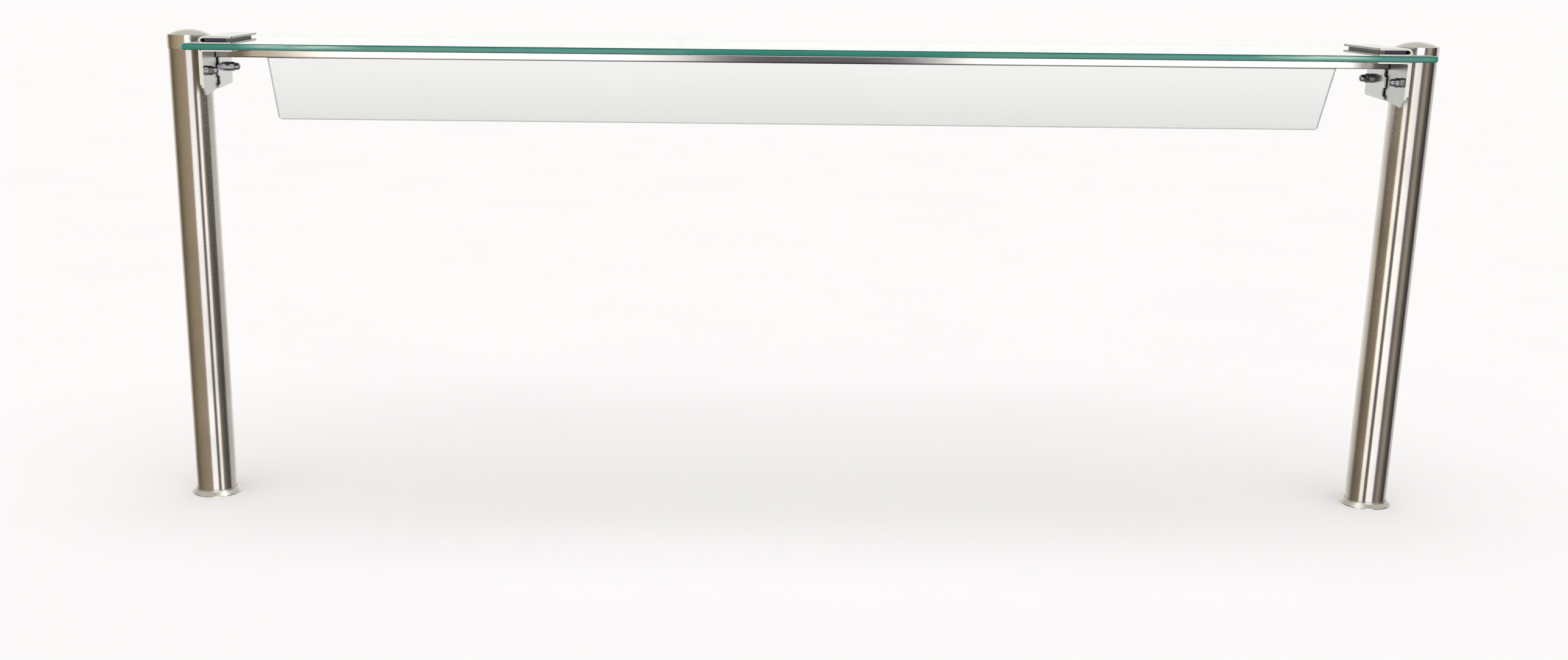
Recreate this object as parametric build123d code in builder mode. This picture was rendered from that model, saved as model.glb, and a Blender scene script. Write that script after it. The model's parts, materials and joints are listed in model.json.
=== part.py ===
"""Glass-shelf sneeze guard for a serving counter.

Two round posts carry a horizontal glass shelf in folded sheet brackets.
A folded channel under the shelf holds a slanted clear pane, and it tilts
on the rear bolt of each bracket.

Millimetres. X runs along the guard, -Y is the serving side, +Z is up.
The origin is on the counter, under the middle of the shelf. Depths named
..._Y, _FRONT or _REAR are measured from the posts' axes, at Y = POST_Y.
"""
from build123d import *
import os

os.makedirs("parts", exist_ok=True)

# ---- driving dimensions ------------------------------------------------
POST_X = 626.5            # post axis from the middle of the guard
POST_Y = 20.0             # the shelf reaches further out on the serving side
POST_R = 21.2             # 42.4 mm round tube
POST_WALL = 2.0
POST_TOP = 485.5

CAP_R = 22.05
CAP_GAP = 0.1             # cap and ring slip over the tube
CAP_BOTTOM = 473.0
CAP_RIM = 487.0
CAP_TOP = 492.6
CAP_CEILING = 0.2         # cap's inside above the tube's end
CAP_ROUND = 0.5

RING_R = 26.3
RING_NECK_R = 22.3
RING_EDGE = 0.9
RING_HEIGHT = 6.4
RING_ROUND = 0.3

PLUG_LENGTH = 24.0
FOOT_THREAD_R = 5.0       # M10
FOOT_THREAD_DEPTH = 18.0
INSIDE_GAP = 0.02         # between the tube's bore and what sits in it
BAR_DEPTH = 8.0           # thread bar, across the post
BAR_WIDTH = 14.0
BAR_END = 8.0             # bar beyond its end screws

SHEET = 2.0               # bracket sheet
BRACKET_HALF = 50.0       # half the depth of a bracket, along Y
SADDLE = 1.5              # stands the bracket clear of the cap
SADDLE_BLOCK = 5.0
SADDLE_WIDTH = 18.0
SADDLE_END = 7.5          # saddle beyond its end screws
FLANGE_REACH = 34.0       # flange width measured from the bracket's back
OUTER_BEND = 6.0
INNER_BEND = 3.0
FLANGE_CORNER = 2.0
OUTER_FOOT = 436.0
OUTER_FOOT_CUT = 3.5
INNER_FOOT_REAR = 438.5   # slanted foot, lowest near the front
INNER_FOOT_LOW = 428.5
INNER_FOOT_LOW_Y = -42.0
INNER_FOOT_FRONT = 436.5

GLASS = 6.0
GLASS_TOP = 483.2
GLASS_HALF = 600.0
GLASS_FRONT = -125.0
GLASS_REAR = 85.0
GLASS_CORNER = 6.0
GLASS_ROUND = 1.8
UPPER_PAD = 2.0
LOWER_PAD = 3.0
PAD_INSET = 5.0           # pad short of the flange's free edge
PAD_CORNER = 1.5

BOLT_R = 2.5              # M5
BOLT_FIT = 0.08           # radial clearance of the tab on its bolt
BOLT_Y = 37.0
BOLT_Z = 453.0
POST_SCREW_Z = (441.0, 461.0)
POST_SCREWS = [(0, z) for z in POST_SCREW_Z]
POST_SCREW_LENGTH = 15.5
SCREW_HEAD_R = 5.0
SCREW_HEAD = 2.5
HEX_KEY_R = 1.75
HEX_KEY_DEPTH = 1.7
BUTTON_R = 4.75
BUTTON = 2.75
BUTTON_ROUND = 1.8

CHANNEL_SHEET = 1.5
CHANNEL_TOP = 471.9
CHANNEL_BOTTOM = 464.3
CHANNEL_FRONT = -3.0
CHANNEL_REAR = 22.0
CHANNEL_BEND = 1.2
LIP_ROUND = 0.7
RELIEF_LENGTH = 8.0       # rear lip cut short of each tab
RELIEF_HEIGHT = 20.0
TAB_GAP = 0.3             # tab's front edge behind the front lip
TAB_BOTTOM_REAR = 435.5
TAB_BOTTOM_FRONT = 433.2
TAB_SHOULDER = 462.0      # height of the tab's rear edge
TAB_CORNER = 3.0
TAB_NOTCH_R = 4.5

PANE = 4.0
PANE_HALF = 549.0
PANE_HEIGHT = 80.0
PANE_SLOPE = 60.0         # degrees below horizontal, lower edge to the rear
PANE_GRIP = 0.5           # gasket on each face of the pane
PANE_CORNER = 3.0
PANE_EDGE = 0.4
PANE_Y = 8.3              # a point on the pane's mid-plane
PANE_Z = 462.0
PANE_TOP = 7.0            # pane's upper edge, up the slope from that point
PANE_GRIP_TOP = 0.4       # gasket over that edge
GASKET_BOTTOM = 3.2
SLOT_BOTTOM = -20.0       # holder's slot, well below the holder
HOLDER_HALF = 552.0
HOLDER_GAP = 0.3
HOLDER_SCREW_R = 2.0      # M4
HOLDER_SCREW_FIT = 0.25
HOLDER_SCREW_TIP = 0.6    # tip above the channel's lower edge
PAN_HEAD_R = 3.8
PAN_HEAD = 2.2
PAN_HEAD_ROUND = 1.0
CROSS_LENGTH = 4.0        # cross recess of those screws
CROSS_WIDTH = 0.8
CROSS_DEPTH = 1.2
HOLDER_SCREW_X = (-500.0, -250.0, 0.0, 250.0, 500.0)
HOLDER_SCREW_Y = 15.0
BUMPER_X = (-375.0, -125.0, 125.0, 375.0)
BUMPER_Y = 8.0
BUMPER_R = 5.0
BUMPER_ROUND = 2.0
BUMPER_GAP = 0.3

SLACK = 0.05              # radial clearance round a fastener's thread
HOLE_FIT = 0.2            # radial clearance of a bolt's hole
PAST = 1.0                # how far a cut runs past the face it leaves

# ---- stations measured inboard from a post's axis ----------------------
U_SADDLE = POST_R + SADDLE            # back of the outer angle
U_OUTER = U_SADDLE + SHEET            # inner face of the outer angle
U_INNER = U_OUTER + SHEET             # inner face of the inner angle
FRICTION_WASHER = 0.8
FRICTION_WASHER_R = 6.0
TAB_PLAY = 0.1
U_TAB = U_INNER + FRICTION_WASHER + TAB_PLAY
U_TAB_FACE = U_TAB + CHANNEL_SHEET
WASHER = 1.0
WASHER_R = 5.0
LOCK_WASHER = 1.2
LOCK_WASHER_R = 4.6
LOCK_SPLIT = 0.8
NUT_ACROSS_FLATS = 8.0
NUT_HEX = 4.2             # height of the nut's hexagon
NUT_HEX_CUT = 0.35        # its corners are cut back by this much
NUT_DOME_R = 3.75
NUT_HEIGHT = 10.0
NUT_BORE = 8.0
BOLT_SHORT = 0.5          # bolt ends this far inside the nut's bore
U_CLAMP_NUT = U_INNER + WASHER + LOCK_WASHER
U_PIVOT_NUT = U_TAB_FACE + TAB_PLAY + WASHER + LOCK_WASHER

FLANGE_TOP = GLASS_TOP + UPPER_PAD + SHEET
GLASS_BOTTOM = GLASS_TOP - GLASS
LEDGE_TOP = GLASS_BOTTOM - LOWER_PAD
LEDGE_BOTTOM = LEDGE_TOP - SHEET

SIDES = {"left": -1, "right": 1}


# ---- planes --------------------------------------------------------------
def across(side, u):
    """Plane across the guard, u inboard of a post's axis: x to the rear, y up."""
    return Plane(
        origin=(side * (POST_X - u), POST_Y, 0),
        x_dir=(0, 1, 0),
        z_dir=(1, 0, 0),
    )


def mid_plane():
    """Plane across the guard at its middle: x to the rear, y up."""
    return across(1, POST_X)


def level(z):
    """Horizontal plane: x along the guard, y to the rear of the posts' axes."""
    return Plane(origin=(0, POST_Y, z))


def section(side):
    """Plane of a bracket's cross-section: x inboard, y up."""
    return Plane(
        origin=(side * POST_X, POST_Y, 0),
        x_dir=(-side, 0, 0),
        z_dir=(0, side, 0),
    )


def post_floor(side, z=0.0):
    """Horizontal plane centred on a post."""
    return Plane(origin=(side * POST_X, POST_Y, z))


def post_section(side):
    """Upright plane through a post's axis: x outwards to the right, y up."""
    return Plane(
        origin=(side * POST_X, POST_Y, 0),
        x_dir=(1, 0, 0),
        z_dir=(0, -1, 0),
    )


def post_axis(side):
    return Axis((side * POST_X, POST_Y, 0), (0, 0, 1))


def inboard(side):
    """Index of the group nearest the middle, in a list sorted along X."""
    return 0 if side > 0 else -1


def outboard(side):
    return -1 if side > 0 else 0


def save(builder, name):
    builder.part.label = name
    export_step(builder.part, f"parts/{name}.step")


# ---- posts -----------------------------------------------------------------
def make_post_tube(name, side):
    with BuildPart() as tube:
        with BuildSketch(post_floor(side)):
            Circle(POST_R)
            Circle(POST_R - POST_WALL, mode=Mode.SUBTRACT)
        extrude(amount=POST_TOP)
        drill(side, POST_R + PAST, POST_R, POST_SCREWS, BOLT_R + HOLE_FIT)
    save(tube, name)


def make_post_cap(name, side):
    """Thin slip-over cap with a shallow dome."""
    ceiling = POST_TOP + CAP_CEILING
    bore = POST_R + CAP_GAP
    sagitta = CAP_TOP - CAP_RIM
    dome_r = (CAP_R ** 2 + sagitta ** 2) / (2 * sagitta)
    with BuildPart() as cap:
        with BuildSketch(post_section(side)):
            with BuildLine():
                Polyline(
                    (0, CAP_TOP),
                    (0, ceiling),
                    (bore, ceiling),
                    (bore, CAP_BOTTOM),
                    (CAP_R, CAP_BOTTOM),
                    (CAP_R, CAP_RIM),
                )
                RadiusArc((CAP_R, CAP_RIM), (0, CAP_TOP), -dome_r)
            outline = make_face()
            rim = outline.vertices().group_by(Axis.X)[-1].sort_by(Axis.Y)[-1]
            fillet(rim, CAP_ROUND)
        revolve(axis=post_axis(side))
    save(cap, name)


def make_base_ring(name, side):
    """Flared cover ring at the foot of a post."""
    bore = POST_R + CAP_GAP
    shoulder = RING_EDGE + RING_R - RING_NECK_R
    with BuildPart() as ring:
        with BuildSketch(post_section(side)):
            with BuildLine():
                Polyline(
                    (bore, 0),
                    (RING_R, 0),
                    (RING_R, RING_EDGE),
                    (RING_NECK_R, shoulder),
                    (RING_NECK_R, RING_HEIGHT),
                    (bore, RING_HEIGHT),
                    close=True,
                )
            outline = make_face()
            neck = outline.vertices().group_by(Axis.Y)[-1].sort_by(Axis.X)[-1]
            fillet(neck, RING_ROUND)
        revolve(axis=post_axis(side))
    save(ring, name)


def make_foot_plug(name, side):
    """Solid plug in the foot of a post, tapped from below."""
    plug_r = POST_R - POST_WALL - INSIDE_GAP
    with BuildPart() as plug:
        with BuildSketch(post_floor(side)):
            Circle(plug_r)
        extrude(amount=PLUG_LENGTH)
        chamfer(plug.edges().filter_by(GeomType.CIRCLE).sort_by(Axis.Z)[-1], 1.0)
        with BuildSketch(post_floor(side)):
            Circle(FOOT_THREAD_R)
        extrude(amount=FOOT_THREAD_DEPTH, mode=Mode.SUBTRACT)
    save(plug, name)


def make_thread_bar(name, side):
    """Bar inside the post that the two bracket screws thread into."""
    bore_r = POST_R - POST_WALL - INSIDE_GAP
    low, high = POST_SCREW_Z
    with BuildPart() as bar:
        with BuildSketch(post_floor(side, low - BAR_END)):
            with Locations((-side * (bore_r - BAR_DEPTH / 2), 0)):
                Rectangle(BAR_DEPTH, BAR_WIDTH)
            Circle(bore_r, mode=Mode.INTERSECT)
        extrude(amount=high - low + 2 * BAR_END)
        drill(side, POST_R, POST_R, POST_SCREWS, BOLT_R + SLACK)
    save(bar, name)


# ---- brackets ----------------------------------------------------------------
def make_saddle(name, side):
    """Spacer between the round post and the flat back of the bracket."""
    low, high = POST_SCREW_Z
    with BuildPart() as saddle:
        with BuildSketch(post_floor(side, low - SADDLE_END)):
            with Locations((-side * (U_SADDLE - SADDLE_BLOCK / 2), 0)):
                Rectangle(SADDLE_BLOCK, SADDLE_WIDTH)
            Circle(POST_R + INSIDE_GAP, mode=Mode.SUBTRACT)
        extrude(amount=high - low + 2 * SADDLE_END)
        drill(side, U_SADDLE + PAST, U_SADDLE, POST_SCREWS, BOLT_R + HOLE_FIT)
    save(saddle, name)


def make_outer_angle(name, side):
    """Sheet angle fixed to the post, its flange over the glass."""
    with BuildPart() as angle:
        with BuildSketch(section(side)):
            with BuildLine():
                Polyline(
                    (U_SADDLE, OUTER_FOOT),
                    (U_OUTER, OUTER_FOOT),
                    (U_OUTER, FLANGE_TOP - SHEET),
                    (U_SADDLE + FLANGE_REACH, FLANGE_TOP - SHEET),
                    (U_SADDLE + FLANGE_REACH, FLANGE_TOP),
                    (U_SADDLE, FLANGE_TOP),
                    close=True,
                )
            make_face()
        extrude(amount=BRACKET_HALF, both=True)
        bend(angle, side, U_SADDLE, FLANGE_TOP, OUTER_BEND)
        bend(angle, side, U_OUTER, FLANGE_TOP - SHEET, OUTER_BEND - SHEET)
        tip = angle.edges().filter_by(Axis.Z).group_by(Axis.X)[inboard(side)]
        fillet(tip, FLANGE_CORNER)
        chamfer(angle.edges().filter_by(Axis.X).group_by(Axis.Z)[0], OUTER_FOOT_CUT)
        drill_bracket(side)
    save(angle, name)


def make_inner_angle(name, side):
    """Sheet angle bolted inside the first, its flange under the glass."""
    blank = INNER_FOOT_LOW - PAST
    beyond = BRACKET_HALF + PAST
    with BuildPart() as angle:
        with BuildSketch(section(side)):
            with BuildLine():
                Polyline(
                    (U_OUTER, blank),
                    (U_INNER, blank),
                    (U_INNER, LEDGE_BOTTOM),
                    (U_SADDLE + FLANGE_REACH, LEDGE_BOTTOM),
                    (U_SADDLE + FLANGE_REACH, LEDGE_TOP),
                    (U_OUTER, LEDGE_TOP),
                    close=True,
                )
            make_face()
        extrude(amount=BRACKET_HALF, both=True)
        bend(angle, side, U_OUTER, LEDGE_TOP, INNER_BEND)
        bend(angle, side, U_INNER, LEDGE_BOTTOM, INNER_BEND - SHEET)
        tip = angle.edges().filter_by(Axis.Z).group_by(Axis.X)[inboard(side)]
        fillet(tip, FLANGE_CORNER)
        # slanted foot with a cut front corner
        with BuildSketch(across(side, U_OUTER - PAST)):
            with BuildLine():
                Polyline(
                    (beyond, INNER_FOOT_REAR),
                    (INNER_FOOT_LOW_Y, INNER_FOOT_LOW),
                    (-BRACKET_HALF, INNER_FOOT_FRONT),
                    (-beyond, INNER_FOOT_FRONT),
                    (-beyond, blank - PAST),
                    (beyond, blank - PAST),
                    close=True,
                )
            make_face()
        extrude(amount=-side * (SHEET + 2 * PAST), mode=Mode.SUBTRACT)
        drill_bracket(side)
    save(angle, name)


def bend(angle, side, u, z, radius):
    """Round the fold that runs along Y at station u and height z."""
    x = side * (POST_X - u)
    fold = angle.edges().filter_by(Axis.Y).sort_by_distance((x, POST_Y, z))[0]
    fillet(fold, radius)


def drill(side, u, depth, points, radius, taper=0):
    """Cut round holes from station u towards the post."""
    with BuildSketch(across(side, u)) as holes:
        with Locations(*points):
            Circle(radius)
    extrude(holes.sketch, amount=side * depth, taper=taper, mode=Mode.SUBTRACT)


def drill_bracket(side):
    """Bolt holes, and countersunk holes for the flush post screws."""
    bolts = [(-BOLT_Y, BOLT_Z), (BOLT_Y, BOLT_Z)]
    drill(side, U_INNER + PAST, U_INNER, bolts, BOLT_R + HOLE_FIT)
    drill(side, U_INNER + PAST, U_INNER, POST_SCREWS, BOLT_R + HOLE_FIT)
    for place in POST_SCREWS:
        drill(side, U_INNER, SCREW_HEAD + 0.4, [place], SCREW_HEAD_R + 0.3, taper=45)


def make_pad(name, side, bottom, height, reach):
    """Rubber strip between the glass and a bracket flange."""
    inner = U_SADDLE + FLANGE_REACH - PAD_INSET
    with BuildPart() as pad:
        with BuildSketch(section(side)):
            with Locations(((inner + reach) / 2, bottom + height / 2)):
                Rectangle(inner - reach, height)
        extrude(amount=BRACKET_HALF - 1, both=True)
        fillet(pad.edges().filter_by(Axis.Z), PAD_CORNER)
    save(pad, name)


# ---- fasteners ---------------------------------------------------------------
def make_post_screws(name, side):
    """Two countersunk socket screws per post, through both angles."""
    with BuildPart() as screws:
        for place in POST_SCREWS:
            with BuildSketch(across(side, U_INNER)):
                with Locations(place):
                    Circle(SCREW_HEAD_R)
            extrude(amount=side * SCREW_HEAD, taper=45)
            with BuildSketch(across(side, U_INNER)):
                with Locations(place):
                    Circle(BOLT_R)
            extrude(amount=side * POST_SCREW_LENGTH)
            with BuildSketch(across(side, U_INNER)):
                with Locations(place):
                    RegularPolygon(HEX_KEY_R, 6)
            extrude(amount=side * HEX_KEY_DEPTH, mode=Mode.SUBTRACT)
    save(screws, name)


def make_bolt(name, side, y, tip):
    """Button-head socket bolt along X, head against the outer angle."""
    with BuildPart() as bolt:
        with BuildSketch(across(side, U_SADDLE)):
            with Locations((y, BOLT_Z)):
                Circle(BUTTON_R)
        extrude(amount=side * BUTTON)
        rims = bolt.edges().filter_by(GeomType.CIRCLE).group_by(Axis.X)
        fillet(rims[outboard(side)], BUTTON_ROUND)
        with BuildSketch(across(side, U_SADDLE)):
            with Locations((y, BOLT_Z)):
                Circle(BOLT_R)
        extrude(amount=-side * (tip - U_SADDLE))
        with BuildSketch(across(side, U_SADDLE - BUTTON)):
            with Locations((y, BOLT_Z)):
                RegularPolygon(HEX_KEY_R, 6)
        extrude(amount=-side * HEX_KEY_DEPTH, mode=Mode.SUBTRACT)
    save(bolt, name)


def make_washers(name, y, u, radius, thickness, split=False):
    """One washer on each side of the guard, at station u."""
    with BuildPart() as washers:
        for side in SIDES.values():
            with BuildSketch(across(side, u)):
                with Locations((y, BOLT_Z)):
                    Circle(radius)
                    Circle(BOLT_R + BOLT_FIT, mode=Mode.SUBTRACT)
                if split:
                    with Locations((y, BOLT_Z + radius / 2 + 1)):
                        Rectangle(LOCK_SPLIT, radius + 2, rotation=20, mode=Mode.SUBTRACT)
            extrude(amount=-side * thickness)
    save(washers, name)


def make_acorn_nut(name, side, y, u):
    """Domed hexagon nut, M5, closed at its inboard end."""
    corner_r = NUT_ACROSS_FLATS / 3 ** 0.5
    base = Vector(side * (POST_X - u), POST_Y + y, BOLT_Z)
    through_axis = Plane(origin=base, x_dir=(0, 1, 0), z_dir=(0, 0, side))
    with BuildPart() as nut:
        with BuildSketch(across(side, u)):
            with Locations((y, BOLT_Z)):
                RegularPolygon(corner_r, 6, rotation=30)
        extrude(amount=-side * NUT_HEX)
        with BuildSketch(through_axis):
            with BuildLine():
                Polyline(
                    (0, 0),
                    (corner_r - NUT_HEX_CUT, 0),
                    (corner_r, NUT_HEX_CUT / 2),
                    (corner_r, NUT_HEX - NUT_HEX_CUT),
                    (NUT_DOME_R, NUT_HEX),
                    (0, NUT_HEX),
                    close=True,
                )
            make_face()
        revolve(axis=Axis(base, (1, 0, 0)), mode=Mode.INTERSECT)
        with BuildSketch(across(side, u)):
            with Locations((y, BOLT_Z)):
                Circle(NUT_DOME_R)
        extrude(amount=-side * NUT_HEIGHT)
        rims = nut.edges().filter_by(GeomType.CIRCLE).group_by(Axis.X)
        fillet(rims[inboard(side)], NUT_DOME_R - 0.15)
        with BuildSketch(across(side, u)):
            with Locations((y, BOLT_Z)):
                Circle(BOLT_R + SLACK)
        extrude(amount=-side * NUT_BORE, mode=Mode.SUBTRACT)
    save(nut, name)


# ---- shelf ---------------------------------------------------------------------
def make_glass_shelf(name):
    with BuildPart() as shelf:
        with BuildSketch(level(GLASS_BOTTOM)):
            with Locations((0, (GLASS_FRONT + GLASS_REAR) / 2)):
                RectangleRounded(2 * GLASS_HALF, GLASS_REAR - GLASS_FRONT, GLASS_CORNER)
        extrude(amount=GLASS)
        fillet(shelf.faces().sort_by(Axis.Z)[-1].edges(), GLASS_ROUND)
        fillet(shelf.faces().sort_by(Axis.Z)[0].edges(), GLASS_ROUND)
    save(shelf, name)


# ---- channel and pane ------------------------------------------------------------
def make_cross_channel(name):
    """Folded channel under the shelf, with a tab folded down at each end."""
    end = POST_X - U_TAB
    lip = CHANNEL_SHEET
    roof = CHANNEL_TOP - lip
    tab_front = CHANNEL_FRONT + lip + TAB_GAP
    with BuildPart() as channel:
        with BuildSketch(mid_plane()):
            with BuildLine():
                Polyline(
                    (CHANNEL_FRONT, CHANNEL_BOTTOM),
                    (CHANNEL_FRONT, CHANNEL_TOP),
                    (CHANNEL_REAR, CHANNEL_TOP),
                    (CHANNEL_REAR, CHANNEL_BOTTOM),
                    (CHANNEL_REAR - lip, CHANNEL_BOTTOM),
                    (CHANNEL_REAR - lip, roof),
                    (CHANNEL_FRONT + lip, roof),
                    (CHANNEL_FRONT + lip, CHANNEL_BOTTOM),
                    close=True,
                )
            section_face = make_face()
            corners = section_face.vertices().group_by(Axis.Y)[-1]
            fillet(corners, CHANNEL_BEND)
            lip_edge = section_face.vertices().group_by(Axis.Y)[0].sort_by(Axis.X)[0]
            fillet(lip_edge, LIP_ROUND)
        extrude(amount=end, both=True)
        for side in SIDES.values():
            # corner relief, then the tab with its fold
            with BuildSketch(across(side, U_TAB - PAST)):
                with Locations((CHANNEL_REAR, roof - RELIEF_HEIGHT / 2)):
                    Rectangle(2 * lip + PAST, RELIEF_HEIGHT)
            extrude(amount=-side * RELIEF_LENGTH, mode=Mode.SUBTRACT)
            with BuildSketch(across(side, U_TAB)):
                with BuildLine():
                    Polyline(
                        (tab_front, TAB_BOTTOM_FRONT),
                        (BRACKET_HALF, TAB_BOTTOM_REAR),
                        (BRACKET_HALF, TAB_SHOULDER),
                        (CHANNEL_REAR - lip, roof),
                        (tab_front, roof),
                        close=True,
                    )
                make_face()
                with Locations(*[(tab_front, z) for z in POST_SCREW_Z]):
                    Circle(TAB_NOTCH_R, mode=Mode.SUBTRACT)
                with Locations((BOLT_Y, BOLT_Z)):
                    Circle(BOLT_R + BOLT_FIT, mode=Mode.SUBTRACT)
            extrude(amount=-side * lip)
            rear = channel.edges().filter_by(Axis.X).sort_by_distance(
                (side * end, POST_Y + BRACKET_HALF, TAB_BOTTOM_REAR)
            )
            fillet(rear[0], TAB_CORNER)
        with BuildSketch(level(CHANNEL_TOP)):
            with Locations(*holder_screw_places()):
                Circle(HOLDER_SCREW_R + HOLDER_SCREW_FIT)
        extrude(amount=-lip, mode=Mode.SUBTRACT)
    save(channel, name)


def pane_plane():
    """Mid-plane of the pane: x along the guard, y up its slope."""
    slope = Vector(0, -1, 0).rotate(Axis.X, -PANE_SLOPE)
    return Plane(
        origin=(0, POST_Y + PANE_Y, PANE_Z),
        x_dir=(1, 0, 0),
        z_dir=Vector(1, 0, 0).cross(slope),
    )


def pane_band(bottom, top, thickness):
    """Outline, across the guard, of a band along the pane's slope."""
    along = 180 - PANE_SLOPE
    with BuildSketch(mid_plane(), mode=Mode.PRIVATE) as band:
        with Locations(Location((PANE_Y, PANE_Z), along)):
            with Locations(((bottom + top) / 2, 0)):
                Rectangle(top - bottom, thickness)
    return band.sketch


def make_pane_holder(name):
    """Extrusion in the channel, with a slanted slot for the pane."""
    front = CHANNEL_FRONT + CHANNEL_SHEET + HOLDER_GAP
    rear = CHANNEL_REAR - CHANNEL_SHEET - HOLDER_GAP
    floor = CHANNEL_BOTTOM + HOLDER_GAP
    roof = CHANNEL_TOP - CHANNEL_SHEET
    slot = pane_band(SLOT_BOTTOM, PANE_TOP + PANE_GRIP_TOP, PANE + 2 * PANE_GRIP)
    with BuildPart() as holder:
        with BuildSketch(mid_plane()):
            with Locations(((front + rear) / 2, (floor + roof) / 2)):
                Rectangle(rear - front, roof - floor)
        extrude(amount=HOLDER_HALF, both=True)
        extrude(slot, amount=HOLDER_HALF + PAST, both=True, mode=Mode.SUBTRACT)
        with BuildSketch(level(floor)):
            with Locations(*holder_screw_places()):
                Circle(HOLDER_SCREW_R + SLACK)
        extrude(amount=roof - floor, mode=Mode.SUBTRACT)
    save(holder, name)


def make_pane_gasket(name):
    """Soft U strip that wraps the pane's upper edge in the slot."""
    outer = pane_band(GASKET_BOTTOM, PANE_TOP + PANE_GRIP_TOP, PANE + 2 * PANE_GRIP)
    core = pane_band(GASKET_BOTTOM - PAST, PANE_TOP, PANE)
    with BuildPart() as gasket:
        extrude(outer, amount=PANE_HALF, both=True)
        extrude(core, amount=PANE_HALF + PAST, both=True, mode=Mode.SUBTRACT)
    save(gasket, name)


def make_hanging_pane(name):
    with BuildPart() as pane:
        with BuildSketch(pane_plane()):
            with Locations((0, PANE_TOP - PANE_HEIGHT / 2)):
                outline = Rectangle(2 * PANE_HALF, PANE_HEIGHT)
            lower = outline.vertices().group_by(Axis.Y)[0]
            fillet(lower, PANE_CORNER)
        extrude(amount=PANE / 2, both=True)
        chamfer(pane.edges().group_by(Axis.Z)[0], PANE_EDGE)
    save(pane, name)


def holder_screw_places():
    return [(x, HOLDER_SCREW_Y) for x in HOLDER_SCREW_X]


def make_holder_screws(name):
    """Pan-head screws that draw the pane holder up into the channel."""
    with BuildPart() as screws:
        with BuildSketch(level(CHANNEL_BOTTOM + HOLDER_SCREW_TIP)):
            with Locations(*holder_screw_places()):
                Circle(HOLDER_SCREW_R)
        extrude(amount=CHANNEL_TOP - CHANNEL_BOTTOM - HOLDER_SCREW_TIP)
        with BuildSketch(level(CHANNEL_TOP)):
            with Locations(*holder_screw_places()):
                Circle(PAN_HEAD_R)
        extrude(amount=PAN_HEAD)
        fillet(screws.edges().group_by(Axis.Z)[-1], PAN_HEAD_ROUND)
        with BuildSketch(level(CHANNEL_TOP + PAN_HEAD)):
            with Locations(*holder_screw_places()):
                Rectangle(CROSS_LENGTH, CROSS_WIDTH)
                Rectangle(CROSS_WIDTH, CROSS_LENGTH)
        extrude(amount=-CROSS_DEPTH, mode=Mode.SUBTRACT)
    save(screws, name)


def make_shelf_bumpers(name):
    """Clear buttons on the channel, just under the glass."""
    with BuildPart() as bumpers:
        with BuildSketch(level(CHANNEL_TOP)):
            with Locations(*[(x, BUMPER_Y) for x in BUMPER_X]):
                Circle(BUMPER_R)
        extrude(amount=GLASS_BOTTOM - BUMPER_GAP - CHANNEL_TOP)
        fillet(bumpers.edges().group_by(Axis.Z)[-1], BUMPER_ROUND)
    save(bumpers, name)


# ---- the whole guard ---------------------------------------------------------------
for label, hand in SIDES.items():
    make_post_tube(f"{label}_post_tube", hand)
    make_post_cap(f"{label}_post_cap", hand)
    make_base_ring(f"{label}_base_ring", hand)
    make_foot_plug(f"{label}_foot_plug", hand)
    make_thread_bar(f"{label}_thread_bar", hand)
    make_saddle(f"{label}_saddle", hand)
    make_outer_angle(f"{label}_outer_angle", hand)
    make_inner_angle(f"{label}_inner_angle", hand)
    make_pad(f"{label}_upper_pad", hand, GLASS_TOP, UPPER_PAD, U_OUTER + 4.5)
    make_pad(f"{label}_lower_pad", hand, LEDGE_TOP, LOWER_PAD, U_OUTER + 3.5)
    make_post_screws(f"{label}_post_screws", hand)
    make_bolt(f"{label}_clamp_bolt", hand, -BOLT_Y, U_CLAMP_NUT + NUT_BORE - BOLT_SHORT)
    make_bolt(f"{label}_pivot_bolt", hand, BOLT_Y, U_PIVOT_NUT + NUT_BORE - BOLT_SHORT)
    make_acorn_nut(f"{label}_clamp_nut", hand, -BOLT_Y, U_CLAMP_NUT)
    make_acorn_nut(f"{label}_pivot_nut", hand, BOLT_Y, U_PIVOT_NUT)

u_clamp_lock = U_INNER + WASHER
u_pivot_washer = U_TAB_FACE + TAB_PLAY
u_pivot_lock = u_pivot_washer + WASHER
make_washers("clamp_washers", -BOLT_Y, U_INNER, WASHER_R, WASHER)
make_washers("clamp_lock_washers", -BOLT_Y, u_clamp_lock, LOCK_WASHER_R, LOCK_WASHER, split=True)
make_washers("friction_washers", BOLT_Y, U_INNER, FRICTION_WASHER_R, FRICTION_WASHER)
make_washers("pivot_washers", BOLT_Y, u_pivot_washer, WASHER_R, WASHER)
make_washers("pivot_lock_washers", BOLT_Y, u_pivot_lock, LOCK_WASHER_R, LOCK_WASHER, split=True)
make_glass_shelf("glass_shelf")
make_cross_channel("cross_channel")
make_pane_holder("pane_holder")
make_pane_gasket("pane_gasket")
make_hanging_pane("hanging_pane")
make_holder_screws("holder_screws")
make_shelf_bumpers("shelf_bumpers")
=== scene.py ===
"""Looks for the sneeze guard: materials on the CAD nodes, floor, light and camera.

Metres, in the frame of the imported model. X runs along the guard, -Y is the serving
side and +Z is up. Places on the guard come from the boxes of its CAD nodes.
"""
import json
import math

import bpy
from mathutils import Matrix, Vector


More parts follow.
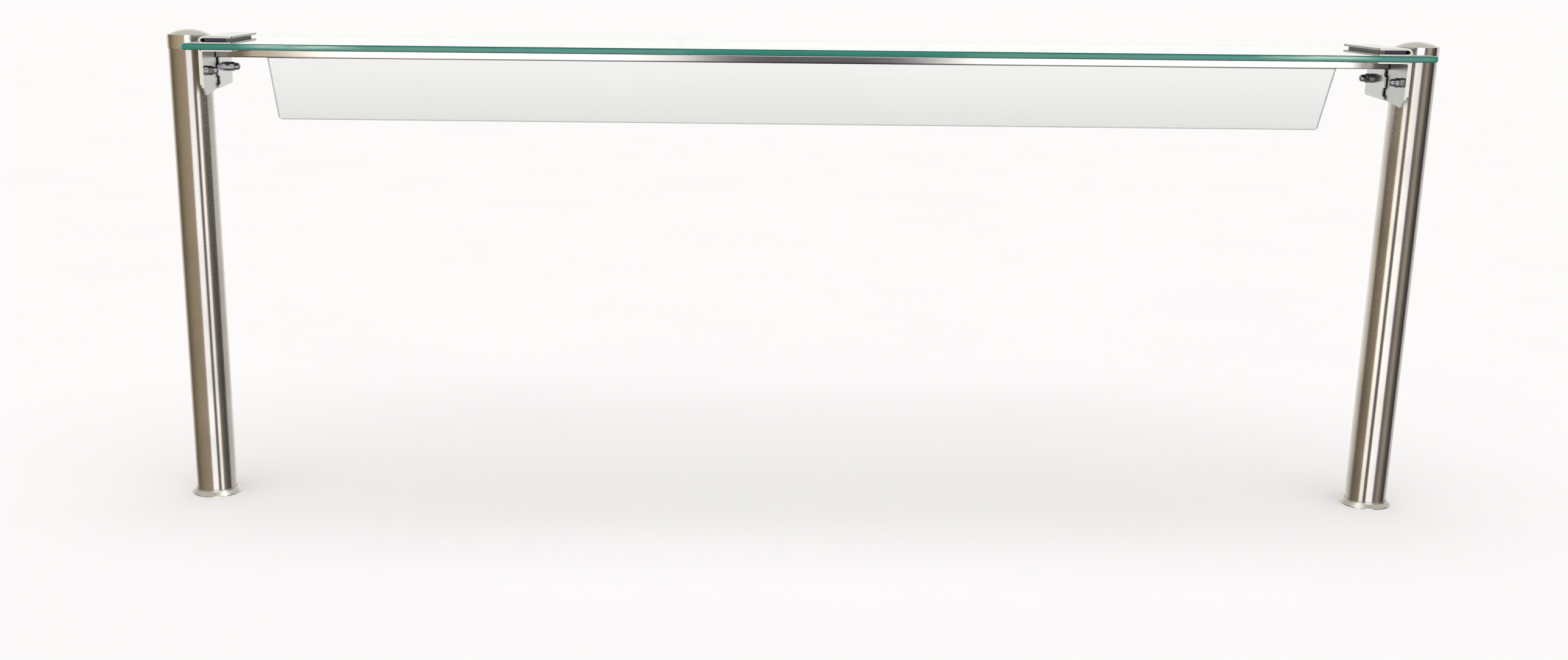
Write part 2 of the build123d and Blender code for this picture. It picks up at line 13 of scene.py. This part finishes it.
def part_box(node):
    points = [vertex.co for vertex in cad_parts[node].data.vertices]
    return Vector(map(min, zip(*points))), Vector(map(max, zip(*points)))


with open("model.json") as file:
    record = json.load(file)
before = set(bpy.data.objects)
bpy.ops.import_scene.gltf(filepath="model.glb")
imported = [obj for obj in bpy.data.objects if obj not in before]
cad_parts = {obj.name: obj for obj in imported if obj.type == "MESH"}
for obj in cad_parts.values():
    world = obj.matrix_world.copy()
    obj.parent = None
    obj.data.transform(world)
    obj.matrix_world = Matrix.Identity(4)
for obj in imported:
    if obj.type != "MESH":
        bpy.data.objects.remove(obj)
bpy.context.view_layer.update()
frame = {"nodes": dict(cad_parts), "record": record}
NODES = frame["nodes"]
SLOT_OF = {row["node"]: row["material_slot"] for row in frame["record"]["subparts"]}

SHELF_LOW, SHELF_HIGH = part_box("glass_shelf")
PANE_LOW, PANE_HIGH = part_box("hanging_pane")
CHANNEL_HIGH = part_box("cross_channel")[1]
LIP_HEIGHT = 0.0076
TAB_TOP = CHANNEL_HIGH.z - LIP_HEIGHT   # the channel's lower edge, where its end tabs begin
COVER_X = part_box("right_outer_angle")[0].x      # the brackets cover what lies beyond this


# ---- node helpers ------------------------------------------------------------
class Shader:
    """One material and short ways to add nodes to it."""

    def __init__(self, name):
        self.material = bpy.data.materials.new(name)
        self.material.use_nodes = True
        self.tree = self.material.node_tree
        self.tree.nodes.clear()
        self.surface = self.tree.nodes.new("ShaderNodeBsdfPrincipled")
        self.output = self.tree.nodes.new("ShaderNodeOutputMaterial")
        self.link(self.surface.outputs[0], self.output.inputs["Surface"])

    def link(self, source, target):
        self.tree.links.new(source, target)

    def feed(self, socket, value):
        """Link a socket, or set a plain value on it."""
        if isinstance(value, bpy.types.NodeSocket):
            self.link(value, socket)
        else:
            socket.default_value = value

    def set(self, **values):
        """Set or link the surface's sockets: base_color=..., roughness=..."""
        for word, value in values.items():
            name = word.replace("_", " ").title().replace("Ior", "IOR")
            self.feed(self.surface.inputs[name], value)

    def place(self, scale=(1, 1, 1)):
        """The point on the piece, in metres, with each axis stretched by scale."""
        where = self.tree.nodes.new("ShaderNodeTexCoord")
        mapping = self.tree.nodes.new("ShaderNodeMapping")
        mapping.inputs["Scale"].default_value = scale
        self.link(where.outputs["Object"], mapping.inputs["Vector"])
        return mapping.outputs[0]

    def noise(self, scale, detail=2.0, rough=0.5):
        """Noise from 0 to 1; scale is a number, or one number for each axis, per metre."""
        if isinstance(scale, (int, float)):
            scale = (scale, scale, scale)
        node = self.tree.nodes.new("ShaderNodeTexNoise")
        node.inputs["Scale"].default_value = 1.0
        node.inputs["Detail"].default_value = detail
        node.inputs["Roughness"].default_value = rough
        self.link(self.place(scale), node.inputs["Vector"])
        return node.outputs[0]

    def remap(self, value, low, high, from_low=0.0, from_high=1.0):
        """Low at from_low, high at from_high, in between by proportion."""
        node = self.tree.nodes.new("ShaderNodeMapRange")
        self.feed(node.inputs["Value"], value)
        node.inputs["From Min"].default_value = from_low
        node.inputs["From Max"].default_value = from_high
        node.inputs["To Min"].default_value = low
        node.inputs["To Max"].default_value = high
        return node.outputs[0]

    def rise(self, value, start, end):
        """0 up to start, 1 from end onwards."""
        return self.remap(value, 0.0, 1.0, start, end)

    def fall(self, value, start, end):
        """1 up to start, 0 from end onwards."""
        return self.remap(value, 1.0, 0.0, start, end)

    def math(self, operation, a, b=0.0):
        """One step of arithmetic on two sockets or numbers."""
        node = self.tree.nodes.new("ShaderNodeMath")
        node.operation = operation
        self.feed(node.inputs[0], a)
        self.feed(node.inputs[1], b)
        return node.outputs[0]

    def mix(self, factor, a, b):
        """Colour a where factor is 0, colour b where it is 1."""
        node = self.tree.nodes.new("ShaderNodeMix")
        node.data_type = "RGBA"
        self.feed(node.inputs["Factor"], factor)
        self.feed(node.inputs["A"], colour(a))
        self.feed(node.inputs["B"], colour(b))
        return node.outputs["Result"]

    def bump(self, height, depth, strength=1.0):
        """Surface relief: height from 0 to 1 stands for depth in metres."""
        node = self.tree.nodes.new("ShaderNodeBump")
        node.inputs["Distance"].default_value = depth
        node.inputs["Strength"].default_value = strength
        self.link(height, node.inputs["Height"])
        self.link(node.outputs[0], self.surface.inputs["Normal"])

    def axis(self, letter, kind="Object"):
        """One coordinate of the point, or of the surface normal."""
        split = self.tree.nodes.new("ShaderNodeSeparateXYZ")
        if kind == "Object":
            self.link(self.place(), split.inputs[0])
        else:
            normal = self.tree.nodes.new("ShaderNodeNewGeometry")
            self.link(normal.outputs["Normal"], split.inputs[0])
        return split.outputs[letter]


def colour(value):
    """A plain colour with its alpha; a socket stays as it is."""
    if isinstance(value, (tuple, list)) and len(value) == 3:
        return (*value, 1.0)
    return value


# ---- materials ----------------------------------------------------------------
def brushed_steel(name, tint, along, roughness, stretch=0.0):
    """Steel ground in lines; along holds the noise scale of each axis, per metre.

    Stretch, from 0 to 1, is how far its reflections smear along the tangent.
    """
    s = Shader(name)
    lines = s.noise(along, detail=3.0, rough=0.6)
    fine = s.noise([4.0 * k for k in along], detail=2.0)
    cloud = s.noise(9.0, detail=2.0)
    grain = s.math("ADD", s.math("MULTIPLY", lines, 0.6), s.math("MULTIPLY", fine, 0.4))
    ground = s.mix(s.rise(grain, 0.3, 0.7), [0.86 * c for c in tint], tint)
    stain = s.rise(s.noise(14.0, detail=2.0), 0.48, 0.72)
    s.set(base_color=s.mix(stain, ground, [0.80 * c for c in tint]), metallic=1.0)
    worn = s.remap(grain, roughness - 0.03, roughness + 0.03)
    s.set(roughness=s.math("ADD", worn, s.remap(cloud, -0.02, 0.02)), anisotropic=stretch)
    s.bump(grain, 0.000012, 0.5)
    return s


def post_steel():
    """Round tube ground across its length, so lights smear into upright bands."""
    s = brushed_steel("post_steel", (0.64, 0.61, 0.57), (60.0, 60.0, 1800.0), 0.27, 0.9)
    s.set(anisotropic_rotation=0.25)
    tangent = s.tree.nodes.new("ShaderNodeTangent")
    tangent.direction_type = "RADIAL"
    tangent.axis = "Z"
    s.link(tangent.outputs[0], s.surface.inputs["Tangent"])
    return s.material


def ring_steel():
    return brushed_steel("ring_steel", (0.74, 0.71, 0.66), (90.0, 90.0, 1500.0), 0.30).material


def channel_steel():
    """Channel ground along its length, with painted shade along its fold and a painted shadow
    under the brackets.

    Its end tabs are satin grey, with a painted highlight on their cut edges.
    """
    s = brushed_steel("channel_steel", (0.74, 0.72, 0.67), (25.0, 1600.0, 1600.0), 0.17)
    lip = s.surface.inputs["Base Color"].links[0].from_socket
    # Painted shade: a dark line along the lip's lower fold.
    painted_fold_shade = s.fall(s.axis("Z"), TAB_TOP + 0.0006, TAB_TOP + 0.0014)
    tab = s.fall(s.axis("Z"), TAB_TOP - 0.0010, TAB_TOP - 0.0004)
    across = s.math("ABSOLUTE", s.axis("X"))
    # Painted shadow: the channel is darkened beyond COVER_X, where the brackets shade it.
    painted_bracket_shadow = s.rise(across, COVER_X - 0.008, COVER_X + 0.003)
    lip = s.mix(painted_bracket_shadow, lip, (0.30, 0.275, 0.25))
    cut = s.rise(s.math("ABSOLUTE", s.axis("Y", "Normal")), 0.55, 0.9)
    # Painted highlight: the tabs' cut edges are painted pale and made less metallic.
    painted_tab_edge_light = s.math("MULTIPLY", cut, tab)
    steel = s.mix(tab, s.mix(painted_fold_shade, lip, (0.16, 0.14, 0.13)), (0.50, 0.505, 0.49))
    s.set(base_color=s.mix(painted_tab_edge_light, steel, (0.80, 0.79, 0.76)))
    s.set(metallic=s.remap(painted_tab_edge_light, 1.0, 0.3))
    return s.material


def holder_aluminium():
    along = (12.0, 1500.0, 1500.0)
    return brushed_steel("holder_aluminium", (0.72, 0.72, 0.73), along, 0.36).material


def inner_steel():
    return brushed_steel("inner_steel", (0.46, 0.46, 0.46), (400.0, 400.0, 400.0), 0.45).material


def bracket_steel():
    """Satin sheet: faces finely ground, with painted light on top and a painted shadow under the
    shelf.

    Its cut edges are smoother, and painted near white as a painted highlight.
    """
    s = Shader("bracket_steel")
    grain = s.noise((500.0, 90.0, 900.0), detail=3.0, rough=0.6)
    cloud = s.noise(35.0, detail=3.0)
    cut = s.math("ABSOLUTE", s.axis("Y", "Normal"))
    # Painted highlight: cut edges are painted near white and less metallic; they are also less
    # rough.
    smooth_edge_and_painted_sheen = s.rise(cut, 0.55, 0.9)
    face = s.mix(s.rise(grain, 0.3, 0.7), (0.42, 0.425, 0.41), (0.52, 0.525, 0.505))
    # Painted shadow: a dark band just below the shelf, where the ledge shades the plate.
    painted_ledge_shadow = s.remap(s.axis("Z"), 0.0, 0.6, TAB_TOP - 0.001, TAB_TOP + 0.004)
    face = s.mix(painted_ledge_shadow, face, (0.20, 0.19, 0.175))
    # Painted light: faces that point upwards are painted near white.
    painted_top_light = s.rise(s.axis("Z", "Normal"), 0.5, 0.9)
    face = s.mix(painted_top_light, face, (0.82, 0.82, 0.81))
    s.set(base_color=s.mix(smooth_edge_and_painted_sheen, face, (0.95, 0.93, 0.88)), metallic=s.remap(smooth_edge_and_painted_sheen, 1.0, 0.15))
    satin = s.math("ADD", s.remap(grain, 0.24, 0.32), s.remap(cloud, -0.04, 0.04))
    s.set(roughness=s.math("SUBTRACT", satin, s.math("MULTIPLY", smooth_edge_and_painted_sheen, 0.06)))
    s.bump(grain, 0.00001, 0.4)
    return s.material


def polished(name, tint, roughness):
    """Bright steel with faint polishing swirls and smudges."""
    s = Shader(name)
    swirl = s.noise(900.0, detail=3.0, rough=0.7)
    smudge = s.noise(60.0, detail=3.0, rough=0.6)
    dull = [0.9 * c for c in tint]
    s.set(base_color=s.mix(smudge, dull, tint), metallic=1.0)
    worn = s.remap(smudge, roughness, roughness + 0.08)
    s.set(roughness=s.math("ADD", worn, s.remap(swirl, 0.0, 0.02)))
    s.bump(swirl, 0.000006, 0.3)
    return s.material


def fastener_steel():
    return polished("fastener_steel", (0.60, 0.60, 0.60), 0.20)


def shelf_glass():
    """Clear glass with a green rim.

    The rim has painted dark shade lines along its top and bottom, and a painted reflection as
    light swirls in its upper half near both ends.
    """
    s = Shader("shelf_glass")
    rim_width = 0.0022
    across = s.math("ABSOLUTE", s.axis("X"))
    from_end = s.math("SUBTRACT", SHELF_HIGH.x, across)
    from_front = s.math("SUBTRACT", s.axis("Y"), SHELF_LOW.y)
    from_rear = s.math("SUBTRACT", SHELF_HIGH.y, s.axis("Y"))
    nearest = s.math("MINIMUM", s.math("MINIMUM", from_front, from_rear), from_end)
    rim = s.fall(nearest, rim_width * 0.8, rim_width * 1.1)
    height = s.rise(s.axis("Z"), SHELF_LOW.z, SHELF_HIGH.z)
    band = s.mix(s.rise(height, 0.1, 0.7), (0.032, 0.250, 0.190), (0.050, 0.300, 0.235))
    # Painted reflection: light swirls in the rim's upper half near both ends.
    swirl = s.noise((9.0, 40.0, 260.0), detail=4.0, rough=0.6)
    near_end = s.math("MULTIPLY", s.rise(from_end, 0.055, 0.085), s.fall(from_end, 0.125, 0.18))
    upper = s.remap(height, 0.1, 1.0, 0.35, 0.60)
    light = s.math("MULTIPLY", s.rise(swirl, 0.38, 0.52), s.math("MULTIPLY", near_end, upper))
    green = s.mix(light, band, (0.50, 0.78, 0.70))
    # Painted shade: dark lines along the rim's top and bottom.
    painted_lower_shade = s.remap(height, 0.8, 0.0, 0.04, 0.14)
    painted_rim_shade = s.math("MAXIMUM", s.rise(height, 0.80, 0.92), painted_lower_shade)
    green = s.mix(painted_rim_shade, green, (0.005, 0.040, 0.033))
    smear = s.noise((14.0, 40.0, 1.0), detail=3.0)
    clear = s.mix(smear, (0.93, 0.975, 0.955), (0.965, 0.99, 0.98))
    s.set(base_color=s.mix(rim, clear, green), ior=1.5)
    s.set(roughness=s.math("ADD", s.remap(smear, 0.0, 0.02), s.math("MULTIPLY", rim, 0.10)))
    s.set(transmission_weight=s.remap(rim, 1.0, 0.1))
    return s.material


def clear_pane():
    """Clear sheet, faintly grey, with soft upright streaks, greyer sides and a pale foot."""
    s = Shader("clear_pane")
    streak = s.noise((14.0, 0.6, 0.6), detail=3.0, rough=0.55)
    cloud = s.noise((4.0, 12.0, 12.0), detail=2.0)
    tone = s.math("ADD", s.math("MULTIPLY", streak, 0.5), s.math("MULTIPLY", cloud, 0.5))
    clear = s.mix(s.rise(tone, 0.35, 0.65), (0.935, 0.95, 0.94), (0.965, 0.975, 0.97))
    across = s.math("ABSOLUTE", s.axis("X"))
    side = s.rise(across, PANE_HIGH.x - 0.0012, PANE_HIGH.x - 0.0006)
    low = s.fall(s.axis("Z"), PANE_LOW.z, PANE_HIGH.z)
    clear = s.mix(low, clear, (0.81, 0.83, 0.82))
    clear = s.mix(side, clear, (0.70, 0.73, 0.72))
    foot = s.fall(s.axis("Z"), PANE_LOW.z + 0.0014, PANE_LOW.z + 0.0024)
    s.set(base_color=s.mix(foot, clear, (0.93, 0.94, 0.935)), ior=1.49)
    cut = s.math("MAXIMUM", side, foot)
    s.set(roughness=s.remap(cloud, 0.0, 0.03), transmission_weight=s.remap(cut, 1.0, 0.4))
    return s.material


def rubber_pad():
    """Dark blue rubber, painted pale grey on the sides that face along the guard, as painted
    light.
    """
    s = Shader("rubber_pad")
    grain = s.noise(1500.0, detail=3.0)
    side = s.math("ABSOLUTE", s.axis("X", "Normal"))
    rubber = s.mix(grain, (0.06, 0.055, 0.11), (0.10, 0.09, 0.17))
    # Painted light: sides that face along the guard are painted pale grey.
    s.set(base_color=s.mix(s.rise(side, 0.4, 0.6), rubber, (0.38, 0.38, 0.38)))
    s.set(roughness=s.remap(grain, 0.5, 0.7))
    s.bump(grain, 0.00005, 0.5)
    return s.material


def nylon():
    """Off-white plastic, slightly waxy."""
    s = Shader("nylon")
    grain = s.noise(1200.0, detail=2.0)
    s.set(base_color=s.mix(grain, (0.72, 0.71, 0.66), (0.82, 0.81, 0.77)))
    s.set(roughness=s.remap(grain, 0.4, 0.55), subsurface_weight=0.15, subsurface_scale=0.001)
    s.bump(grain, 0.00003, 0.4)
    return s.material


def clear_bumper():
    """Clear soft plastic, slightly cloudy."""
    s = Shader("clear_bumper")
    haze = s.noise(700.0, detail=2.0)
    s.set(base_color=s.mix(haze, (0.82, 0.87, 0.86), (0.92, 0.95, 0.94)), ior=1.45)
    s.set(roughness=s.remap(haze, 0.12, 0.25), transmission_weight=0.85)
    return s.material


MATERIALS = {
    "post_steel": post_steel(),
    "polished_steel": polished("polished_steel", (0.80, 0.80, 0.77), 0.12),
    "ring_steel": ring_steel(),
    "inner_steel": inner_steel(),
    "bracket_steel": bracket_steel(),
    "channel_steel": channel_steel(),
    "rubber_pad": rubber_pad(),
    "nylon": nylon(),
    # Painted reflection: the nuts' dark, purplish tint stands in for the dark surroundings that
    # the chrome reflects.
    "chromed_nut": polished("chromed_nut", (0.38, 0.37, 0.41), 0.06),
    "fastener_steel": fastener_steel(),
    "shelf_glass": shelf_glass(),
    "clear_pane": clear_pane(),
    "holder_aluminium": holder_aluminium(),
    "clear_bumper": clear_bumper(),
}
for node, piece in NODES.items():
    material = MATERIALS[SLOT_OF[node]]
    for slot in piece.material_slots:
        slot.material = material


# ---- floor ------------------------------------------------------------------------
FLOOR_WIDTH = 120.0
SQUARE = ((-0.5, -0.5), (0.5, -0.5), (0.5, 0.5), (-0.5, 0.5))


def make_floor():
    """Wide pale matt floor, which the steel doesn't reflect."""
    mesh = bpy.data.meshes.new("floor")
    points = [(x * FLOOR_WIDTH, y * FLOOR_WIDTH, 0.0) for x, y in SQUARE]
    mesh.from_pydata(points, [], [(0, 1, 2, 3)])
    floor = bpy.data.objects.new("floor", mesh)
    bpy.context.scene.collection.objects.link(floor)
    s = Shader("floor")
    mottle = s.noise(3.0, detail=3.0)
    s.set(base_color=s.mix(mottle, (0.815, 0.817, 0.837), (0.833, 0.835, 0.855)), roughness=0.7)
    s.set(specular_ior_level=0.0)
    mesh.materials.append(s.material)
    floor.visible_glossy = False
    floor.visible_shadow = False


make_floor()


# ---- light ---------------------------------------------------------------------------
# The room as the steel reflects it: colour by compass angle, in degrees from the
# serving side towards +X.
ROOM = [
    (-150, (0.80, 0.80, 0.78)),
    (-138, (0.66, 0.62, 0.56)),
    (-121, (0.58, 0.53, 0.46)),
    (-112, (0.165, 0.125, 0.085)),
    (-90, (0.19, 0.15, 0.095)),
    (-63, (0.30, 0.245, 0.155)),
    (-38, (0.375, 0.29, 0.19)),
    (-10, (0.40, 0.32, 0.23)),
    (-3, (0.13, 0.11, 0.15)),
    (34, (0.13, 0.11, 0.12)),
    (44, (0.36, 0.30, 0.23)),
    (60, (0.34, 0.29, 0.22)),
    (66, (0.085, 0.088, 0.080)),
    (80, (0.085, 0.088, 0.080)),
    (84, (0.020, 0.018, 0.018)),
    (91, (0.020, 0.018, 0.018)),
    (95, (0.050, 0.042, 0.040)),
    (101, (0.050, 0.042, 0.040)),
    (108, (0.60, 0.565, 0.54)),
    (140, (0.60, 0.57, 0.55)),
    (155, (0.80, 0.80, 0.78)),
]
BELOW = (0.20, 0.20, 0.195)     # the room under the guard, as the steel and panes reflect it
ABOVE = (0.50, 0.485, 0.46)     # the room over it
BELOW_FADE = (-0.35, -0.5)      # slopes between which the room turns into BELOW and ABOVE
ABOVE_FADE = (0.30, 0.55)
BACKDROP = (0.965, 0.960, 0.945)    # what is seen past the floor, in the floor's tone
WORLD_STRENGTH = 1.35
PANEL_HEIGHTS = (-0.8, 0.58)    # foot and top of the softboxes
LEFT_PANEL = ((-0.732, -0.949), (-0.125, -1.10))    # start and end, each (x, y)
RIGHT_PANEL = ((0.30, -1.10), (1.05, -1.165))
LEFT_POWER = 4.6
RIGHT_POWER = 5.6
FLAG_TINT = (0.060, 0.055, 0.080)
SUN_STRENGTH = 1.76
SUN_SPREAD = 70.0       # degrees
SUN_TILT = 15.0


def make_world():
    """The room in reflections, and a plain backdrop for what is seen directly."""
    world = bpy.data.worlds.new("studio")
    bpy.context.scene.world = world
    world.use_nodes = True
    tree = world.node_tree
    tree.nodes.clear()
    where = tree.nodes.new("ShaderNodeTexCoord")
    turn = tree.nodes.new("ShaderNodeTexGradient")
    turn.gradient_type = "RADIAL"
    tree.links.new(where.outputs["Generated"], turn.inputs[0])
    room = tree.nodes.new("ShaderNodeValToRGB")
    tree.links.new(turn.outputs[1], room.inputs[0])
    stops = sorted(((0.25 + angle / 360.0) % 1.0, tint) for angle, tint in ROOM)
    ramp = room.color_ramp.elements
    while len(ramp) < len(stops):
        ramp.new(0.5)
    for element, (position, tint) in zip(ramp, stops):
        element.position = position
        element.color = (*tint, 1.0)
    split = tree.nodes.new("ShaderNodeSeparateXYZ")
    tree.links.new(where.outputs["Generated"], split.inputs[0])
    mixed = room.outputs[0]
    for (near, far), tint in ((BELOW_FADE, BELOW), (ABOVE_FADE, ABOVE)):
        rise = tree.nodes.new("ShaderNodeMapRange")
        rise.inputs["From Min"].default_value = near
        rise.inputs["From Max"].default_value = far
        tree.links.new(split.outputs["Z"], rise.inputs["Value"])
        blend = tree.nodes.new("ShaderNodeMix")
        blend.data_type = "RGBA"
        tree.links.new(rise.outputs[0], blend.inputs["Factor"])
        tree.links.new(mixed, blend.inputs["A"])
        blend.inputs["B"].default_value = (*tint, 1.0)
        mixed = blend.outputs["Result"]
    reflected = tree.nodes.new("ShaderNodeBackground")
    tree.links.new(mixed, reflected.inputs["Color"])
    reflected.inputs["Strength"].default_value = WORLD_STRENGTH
    plain = tree.nodes.new("ShaderNodeBackground")
    plain.inputs["Color"].default_value = (*BACKDROP, 1.0)
    path = tree.nodes.new("ShaderNodeLightPath")
    choose = tree.nodes.new("ShaderNodeMixShader")
    seen = tree.nodes.new("ShaderNodeMath")
    seen.operation = "MAXIMUM"
    tree.links.new(path.outputs["Is Camera Ray"], seen.inputs[0])
    tree.links.new(path.outputs["Is Transmission Ray"], seen.inputs[1])
    tree.links.new(seen.outputs[0], choose.inputs[0])
    tree.links.new(reflected.outputs[0], choose.inputs[1])
    tree.links.new(plain.outputs[0], choose.inputs[2])
    output = tree.nodes.new("ShaderNodeOutputWorld")
    tree.links.new(choose.outputs[0], output.inputs["Surface"])


def upright(start, end, low, high):
    """Place, width and height of an upright panel that faces the guard."""
    run = Vector((*end, 0)) - Vector((*start, 0))
    side = run.normalized()
    back = side.cross(Vector((0, 0, 1)))
    turn = Matrix((side, back.cross(side), back)).transposed()
    middle = (Vector((*start, 0)) + Vector((*end, 0))) / 2 + Vector((0, 0, (low + high) / 2))
    return Matrix.Translation(middle) @ turn.to_4x4(), run.length, high - low


def softbox(name, start, end, power):
    """Upright area light, seen only in reflections."""
    light = bpy.data.lights.new(name, "AREA")
    light.shape = "RECTANGLE"
    light.energy = power
    lamp = bpy.data.objects.new(name, light)
    bpy.context.scene.collection.objects.link(lamp)
    lamp.matrix_world, light.size, light.size_y = upright(start, end, *PANEL_HEIGHTS)
    lamp.visible_camera = False
    lamp.visible_transmission = False
    lamp.visible_diffuse = False


def flag(name, start, end, tint):
    """Dark card between the softboxes, seen only in reflections."""
    place, width, height = upright(start, end, *PANEL_HEIGHTS)
    mesh = bpy.data.meshes.new(name)
    points = [(x * width, y * height, 0.0) for x, y in SQUARE]
    mesh.from_pydata(points, [], [(0, 1, 2, 3)])
    card = bpy.data.objects.new(name, mesh)
    bpy.context.scene.collection.objects.link(card)
    card.matrix_world = place
    s = Shader(name)
    s.set(base_color=(0.0, 0.0, 0.0, 1.0), emission_color=(*tint, 1.0), emission_strength=1.0)
    mesh.materials.append(s.material)
    card.visible_camera = False
    card.visible_diffuse = False
    card.visible_transmission = False
    card.visible_shadow = False


def overhead(name, strength, spread, tilt):
    """Very soft daylight from above, tilted towards the serving side; angles in degrees."""
    light = bpy.data.lights.new(name, "SUN")
    light.energy = strength
    light.angle = math.radians(spread)
    lamp = bpy.data.objects.new(name, light)
    bpy.context.scene.collection.objects.link(lamp)
    lamp.matrix_world = Matrix.Rotation(math.radians(tilt), 4, "X")
    lamp.visible_glossy = False


make_world()
softbox("left_softbox", *LEFT_PANEL, LEFT_POWER)
softbox("right_softbox", *RIGHT_PANEL, RIGHT_POWER)
flag("flag", LEFT_PANEL[1], RIGHT_PANEL[0], FLAG_TINT)
overhead("overhead", SUN_STRENGTH, SUN_SPREAD, SUN_TILT)


# ---- camera ------------------------------------------------------------------------
CAMERA_AT = (-0.1031, -1.7858, 0.5614)
CAMERA_PITCH = 14.974       # degrees below level
CAMERA_YAW = -0.082         # degrees towards +X
CAMERA_ROLL = 0.594
CAMERA_LENS = 39.68         # mm, on a sensor of this width
CAMERA_SENSOR = 36.0
CAMERA_SHIFT = (0.0569, 0.0613)
CAMERA_RANGE = (0.01, 200.0)


def make_camera():
    data = bpy.data.cameras.new("camera")
    camera = bpy.data.objects.new("camera", data)
    bpy.context.scene.collection.objects.link(camera)
    data.sensor_width = CAMERA_SENSOR
    data.lens = CAMERA_LENS
    data.shift_x, data.shift_y = CAMERA_SHIFT
    data.clip_start, data.clip_end = CAMERA_RANGE
    turn = Matrix.Rotation(math.radians(-CAMERA_YAW), 4, "Z")
    tilt = Matrix.Rotation(math.radians(90.0 - CAMERA_PITCH), 4, "X")
    roll = Matrix.Rotation(math.radians(CAMERA_ROLL), 4, "Z")
    camera.matrix_world = Matrix.Translation(CAMERA_AT) @ turn @ tilt @ roll
    bpy.context.scene.camera = camera


make_camera()
bpy.context.scene.view_settings.view_transform = "Standard"
